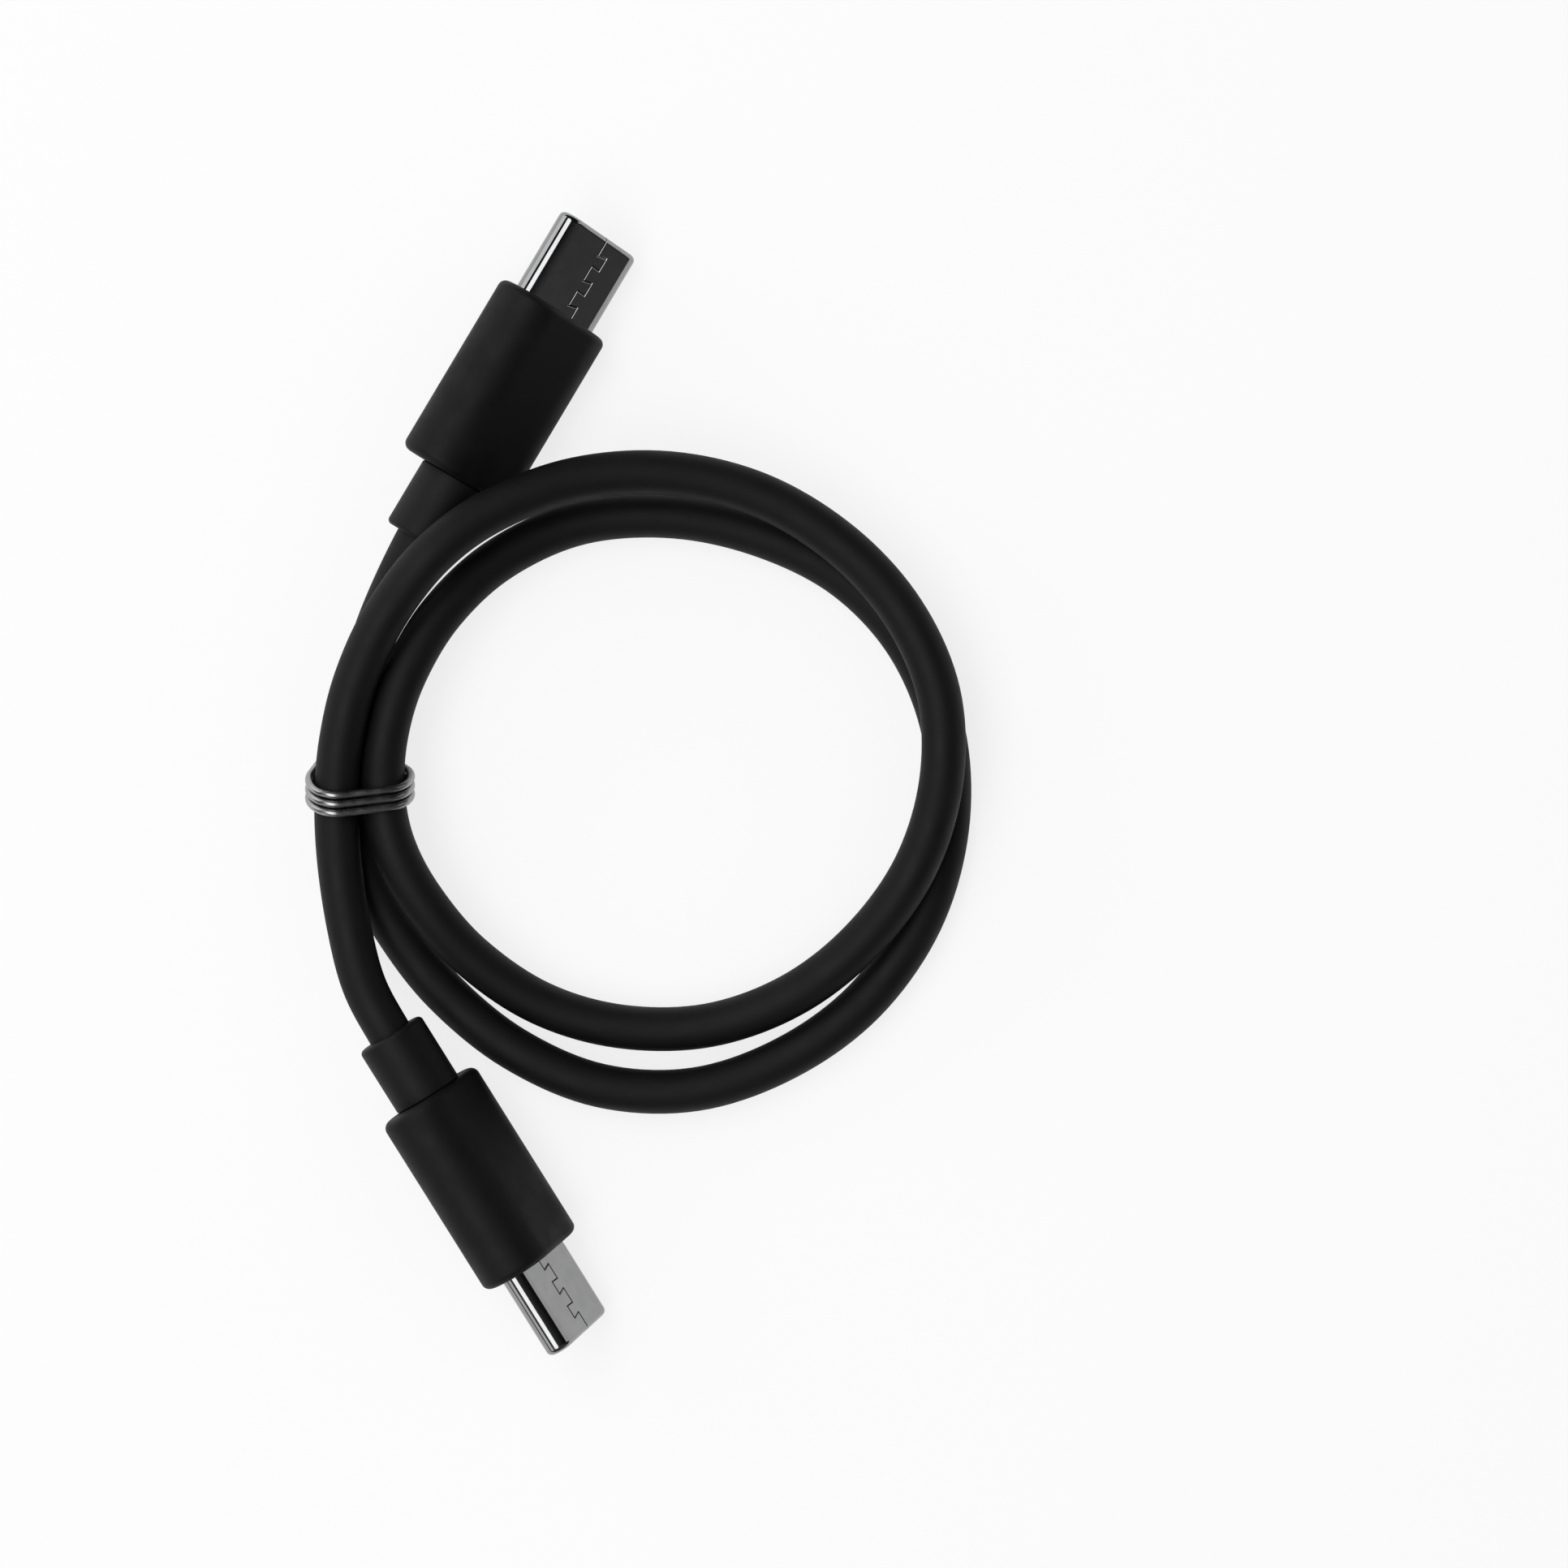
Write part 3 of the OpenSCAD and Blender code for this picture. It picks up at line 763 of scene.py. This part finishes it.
@dataclass
class Cord:
    """The cord, laid through the points of the CAD's route, with its whole length in the coil."""

    centre: np.ndarray
    diameter: float = 3.5 * MM
    free_length: float = 0.327
    sides: int = 32
    rings_per_point: int = 9
    lead: float = 5.0 * MM
    inner_rings: int = 8

    def route(self) -> np.ndarray:
        """The cord's points from the upper plug to the lower one, in millimetres from the coil's middle.

        Returns:
            The same points in metres.
        """
        return MM * np.array([
            [-20.25, 14.35, 4.09], [-21.77, 10.38, 3.19], [-22.7, 6.02, 2.64], [-23.03, 1.27, 2.57],
            [-22.87, -3.39, 2.52], [-22.06, -7.28, 2.28], [-19.77, -11.72, 1.98], [-15.95, -16.66, 1.8],
            [-10.4, -21.17, 1.76], [-3.56, -24.09, 1.76], [4, -24.38, 1.77], [11.2, -21.9, 1.76],
            [17.4, -17.4, 1.76], [21.9, -11, 1.76], [24, -3.6, 1.76], [23.7, 4, 1.76], [20.9, 10.9, 1.76],
            [16, 16.2, 1.76], [9.6, 19.5, 1.76], [2.39, 21.11, 1.76], [-5.06, 20.63, 1.93],
            [-11.37, 17.76, 2.92], [-15.91, 13.46, 4.49], [-18.87, 8.42, 5.35], [-20.33, 3.62, 5.15],
            [-20.55, -0.87, 5.29], [-19.68, -5.07, 5.39], [-17.46, -9.29, 4.81], [-13.76, -13.72, 3.48],
            [-8.37, -17.48, 2.32], [-2.02, -19.38, 1.86], [5, -19.3, 1.95], [11.6, -16.9, 2.7],
            [17.1, -12.6, 3.9], [21.3, -6.8, 5], [23.4, 0, 5.4], [23.2, 7, 5.4], [20.4, 13.4, 5.4],
            [15.6, 18.7, 5.3], [9.2, 22.6, 5.5], [2.01, 24.3, 5.9], [-5.27, 23.8, 6.56],
            [-11.67, 21.34, 7.8], [-16.36, 17.88, 8.7], [-20.11, 13.14, 8], [-22.54, 8.08, 7],
            [-23.75, 3.2, 6.51], [-24.15, -1.31, 6.02], [-23.98, -6, 5.77], [-23.22, -11.22, 5.73],
            [-22.02, -15.88, 5.82],
        ])

    def path(self, upper: Plug, lower: Plug) -> np.ndarray:
        """Ring centres of the cord, from inside the upper plug to inside the lower one.

        Args:
            upper: The plug at the cord's start.
            lower: The plug at its far end.

        Returns:
            The points, with straight stretches inside both plugs.
        """
        starts = [plug.end() + self.lead * plug.seat.axis() for plug in (upper, lower)]
        knots = np.concatenate([
            [starts[0], upper.end()], self.centre + self.route(), [lower.end(), starts[1]]
        ])
        stretches = len(knots) - 3
        bends = spline(knots, 1 + np.linspace(0, stretches, stretches * self.rings_per_point + 1))
        inner = [
            plug.end() + np.linspace(plug.can_back, 0.0, self.inner_rings, endpoint=False)[:, None]
            * plug.seat.axis()
            for plug in (upper, lower)
        ]
        return np.concatenate([inner[0], bends, inner[1][::-1]])

    def make(
        self, upper: Plug, lower: Plug, with_pieces: list[bpy.types.Object], finish: bpy.types.Material
    ) -> None:
        """Args:
            upper: The plug at the cord's start.
            lower: The plug at its far end.
            with_pieces: The separate pieces on the cord; not used.
            finish: The jacket's material.
        """
        path = self.path(upper, lower)
        radius = np.full(len(path), self.diameter / 2)
        made = surface("cord_tube", tube(path, radius, self.sides, UP))
        made.data.materials.append(finish)
        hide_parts("cord")
        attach(made, "root")


@dataclass
class WireTie:
    """The bare wire wound round the three strands on the left."""

    centre: np.ndarray
    diameter: float = 0.6 * MM
    turns: int = 3
    steps: int = 90
    pitch: float = 0.7 * MM
    play: float = 0.15 * MM
    lean: float = 28.0
    pivot: float = 2.0 * MM
    middle_y: float = 0.25 * MM
    cord_d: float = 3.5 * MM
    sides: int = 20
    end_share: float = 0.55

    def path(self) -> np.ndarray:
        """Ring centres of the wire: an even distance outside the outline of the three strands.

        At each angle the wire lies at its reach from the strand that stands furthest out that way, and the
        turns step along Y and lean with height. The strands are given as (x, z), in millimetres from the
        coil's middle.

        Returns:
            The points, one row each.
        """
        strands = MM * np.array([[-23.03, 2.58], [-24.11, 6.09], [-20.54, 5.27]])
        turn = np.linspace(0.0, self.turns, self.turns * self.steps + 1)
        a = 2 * np.pi * turn - np.pi / 2
        way = np.stack([np.cos(a), np.sin(a)], axis=1)
        reach = (self.cord_d + self.diameter) / 2 + self.play
        at = strands[np.argmax(way @ strands.T, axis=1)] + reach * way
        rise = at[:, 1] - strands[0, 1] - self.pivot
        y = self.middle_y + self.pitch * (turn - self.turns / 2) - math.tan(math.radians(self.lean)) * rise
        return self.centre + np.stack([at[:, 0], y, at[:, 1]], axis=1)

    def make(self, finish: bpy.types.Material) -> bpy.types.Object:
        """Builds the wire with narrowed ends and dresses it.

        Args:
            finish: The wire's material.

        Returns:
            The piece.
        """
        path = self.path()
        radius = np.full(len(path), self.diameter / 2)
        radius[[0, -1]] *= self.end_share
        made = surface("tie_wire", tube(path, radius, self.sides, ALONG_Y))
        made.data.materials.append(finish)
        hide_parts("wire_tie")
        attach(made, "root")
        return made


# Studio


@dataclass(frozen=True)
class Lamp:
    """One soft rectangular lamp, which points at the coil.

    Its place is counted from the camera's aim on the floor, its size is height and width, and its
    brightness is how bright its face looks, where a white surround is 1.
    """

    name: str
    place: tuple[float, float, float]
    size: tuple[float, float]
    brightness: float

    def hang(self, aim: np.ndarray) -> None:
        """Puts the lamp in the scene.

        Args:
            aim: Point on the floor that the lamp faces.
        """
        data = bpy.data.lights.new(self.name, "AREA")
        data.shape = "RECTANGLE"
        data.size, data.size_y = self.size
        data.energy = self.brightness * math.pi * self.size[0] * self.size[1]
        made = bpy.data.objects.new(self.name, data)
        away = np.array(self.place)
        level, towards = unit(np.cross(UP, away)), unit(away)
        turned = np.column_stack([np.cross(level, towards), level, towards])
        made.matrix_world = Matrix(turned.tolist()).to_4x4()
        made.location = away + np.array([aim[0], aim[1], 0.0])
        bpy.context.scene.collection.objects.link(made)


LAMPS = (
    Lamp("overhead_box", (-0.183, 0.0, 0.471), (0.25, 0.75), 2.75),
    Lamp("far_strip", (-0.4, 0.27, 0.13), (0.27, 0.45), 1.5),
    Lamp("near_strip", (-0.351, -0.316, 0.163), (0.17, 0.2), 1.0),
    Lamp("right_card", (0.446, 0.18, 0.138), (0.287, 0.16), 0.8),
)


@dataclass
class Studio:
    """Camera, floor, a dark tent that paints the reflections, lamps and pale surround of a small table set.
    """

    aim: np.ndarray
    aim_height: float = 4.3 * MM
    distance: float = 0.4
    view_width: float = 123.8 * MM
    sensor: float = 36.0
    clip: tuple[float, float] = (0.01, 10.0)
    floor_size: float = 3.0
    floor_level: float = -0.02 * MM
    floor_shade: float = 0.97
    floor_glow: float = 0.78
    floor_gleam: float = 0.3
    # A dark tent that only reflections see: painted dark reflections with a painted glow that fades along Y
    tent_radius: float = 0.8
    tent_rows: int = 12
    tent_columns: int = 48
    tent_top: float = 0.49 * math.pi
    tent_reflection_shade: float = 0.012
    tent_rough: float = 0.9
    # Painted glow of the tent, seen only in reflections, and the Y range over which it fades out
    tent_painted_glow: tuple[float, float] = (0.08, 0.0)
    tent_painted_glow_y: tuple[float, float] = (-0.35, 0.1)
    surround: float = 0.4

    def camera(self) -> None:
        """The camera straight above its aim, with +Y up in the picture."""
        data = bpy.data.cameras.new("camera")
        data.sensor_width = self.sensor
        data.lens = self.sensor * self.distance / self.view_width
        data.clip_start, data.clip_end = self.clip
        made = bpy.data.objects.new("camera", data)
        made.location = (self.aim[0], self.aim[1], self.aim_height + self.distance)
        bpy.context.scene.collection.objects.link(made)
        bpy.context.scene.camera = made

    def floor(self) -> None:
        """A plain white floor that keeps the object's soft shadow, and shows a share of its own white."""
        half = self.floor_size / 2
        corners = np.array([[-half, -half], [half, -half], [half, half], [-half, half]])
        points = np.column_stack([corners, np.full(4, self.floor_level)])
        made = piece("floor", points, [(0, 1, 2, 3)])
        material = bpy.data.materials.new("floor_paper")
        material.use_nodes = True
        tree = material.node_tree
        tree.nodes.clear()
        out = tree.nodes.new("ShaderNodeOutputMaterial")
        paper = tree.nodes.new("ShaderNodeBsdfDiffuse")
        paper.inputs["Color"].default_value = (*[self.floor_shade] * 3, 1)
        glow = tree.nodes.new("ShaderNodeEmission")
        mixed = tree.nodes.new("ShaderNodeMixShader")
        tree.links.new(self.seen_share(tree, self.floor_glow, self.floor_gleam), mixed.inputs["Fac"])
        tree.links.new(paper.outputs["BSDF"], mixed.inputs[1])
        tree.links.new(glow.outputs["Emission"], mixed.inputs[2])
        tree.links.new(mixed.outputs["Shader"], out.inputs["Surface"])
        made.data.materials.append(material)

    @staticmethod
    def seen_share(tree: bpy.types.NodeTree, looked: float, mirrored: float) -> bpy.types.NodeSocket:
        """How much of its own white a surface shows to each kind of ray.

        Args:
            tree: Node tree that gets the nodes.
            looked: Share for rays from the camera or through glass.
            mirrored: Share for rays from a reflection; it is 0 for those that light the object.

        Returns:
            The share, as a socket.
        """
        rays = tree.nodes.new("ShaderNodeLightPath")
        seen = combined(tree, "MAXIMUM", rays.outputs["Is Camera Ray"], rays.outputs["Is Transmission Ray"])
        shown = combined(tree, "MULTIPLY", seen, looked)
        gleam = combined(tree, "MULTIPLY", rays.outputs["Is Glossy Ray"], mirrored)
        return combined(tree, "MAXIMUM", shown, gleam)

    def tent(self) -> None:
        """A dark tent over the set, which only reflections see: it paints dark reflections and neither lights
        nor shades the set.

        A point of its half sphere is radius (cos e cos a, cos e sin a, sin e), where the elevation e goes
        from the floor to near the top and a goes once round. It is open below, so that reflections see the
        floor, and its painted glow, which only reflections see, fades from the near side to the far one.
        """
        elevation = np.linspace(0.0, self.tent_top, self.tent_rows)[:, None]
        a = np.linspace(0.0, 2 * np.pi, self.tent_columns, endpoint=False)[None, :]
        dome = np.stack(np.broadcast_arrays(
            np.cos(elevation) * np.cos(a), np.cos(elevation) * np.sin(a), np.sin(elevation)
        ), axis=2)
        *sides, _below, top = grid_faces(self.tent_rows, self.tent_columns, ring=False)
        made = piece("painted_reflection_tent", self.tent_radius * dome.reshape(-1, 3), [*sides, top])
        reflection_paint = bpy.data.materials.new("tent_reflection_paint")
        reflection_paint.use_nodes = True
        tree = reflection_paint.node_tree
        shader = tree.nodes["Principled BSDF"]
        shader.inputs["Base Color"].default_value = (*[self.tent_reflection_shade] * 3, 1)
        shader.inputs["Emission Color"].default_value = (1, 1, 1, 1)
        shader.inputs["Roughness"].default_value = self.tent_rough
        where = tree.nodes.new("ShaderNodeTexCoord").outputs["Object"]
        parts = tree.nodes.new("ShaderNodeSeparateXYZ")
        tree.links.new(where, parts.inputs["Vector"])
        # Painted glow that only reflections see, brightest on the near side
        glow = remap(tree, parts.outputs["Y"], self.tent_painted_glow_y, self.tent_painted_glow)
        tree.links.new(glow, shader.inputs["Emission Strength"])
        made.data.materials.append(reflection_paint)
        # Only reflections see the tent, so its dark and its glow are painted into them and light nothing
        made.visible_camera = made.visible_diffuse = made.visible_shadow = made.visible_transmission = False

    def world(self) -> None:
        """An even pale surround."""
        world = bpy.data.worlds.new("surround")
        bpy.context.scene.world = world
        world.use_nodes = True
        back = world.node_tree.nodes["Background"]
        back.inputs["Color"].default_value = (1, 1, 1, 1)
        back.inputs["Strength"].default_value = self.surround

    def build(self) -> None:
        """Sets the camera and the colour view, the floor, the dark tent of painted reflections, the surround
        and the lamps.
        """
        bpy.context.scene.view_settings.view_transform = "Standard"
        self.camera()
        self.floor()
        self.tent()
        self.world()
        for lamp in LAMPS:
            lamp.hang(self.aim)


def main() -> None:
    """Builds the studio, the plugs, the tie and the cord."""
    Studio(COIL_CENTRE + CAMERA_AIM).build()
    LOG.info("studio ready")

    upper = Plug(Side.UPPER, UPPER_SEAT, COIL_CENTRE)
    lower = Plug(Side.LOWER, LOWER_SEAT, COIL_CENTRE)
    boot, collar, shell = (finish.material() for finish in (BOOT, COLLAR, SHELL))
    tinned, spring = TINNED.material(), SPRING.material()
    inner = {
        "contact_carrier": INSULATOR.material(), "contacts": GOLD.material(), "latch": spring,
        "ground_springs": spring, "board": BOARD.material(), "capacitor": CERAMIC.material(),
        "shield_can": tinned, "ferrule": tinned, "conductors": INSULATION.material(),
        "inner_mould": FILLING.material(),
    }
    for plug in (upper, lower):
        plug.boot(boot)
        plug.collar(collar)
        plug.shell(shell)
        plug.inside(inner)
        LOG.info("%s plug: %d pieces", plug.side.value, len(plug.made))

    tie = WireTie(COIL_CENTRE).make(WIRE.material())
    LOG.info("wire tie ready")
    Cord(COIL_CENTRE).make(upper, lower, [*lower.made, tie], JACKET.material())
    LOG.info("cord ready")


if __name__ == "__main__":
    logging.basicConfig(level=logging.INFO)
    main()
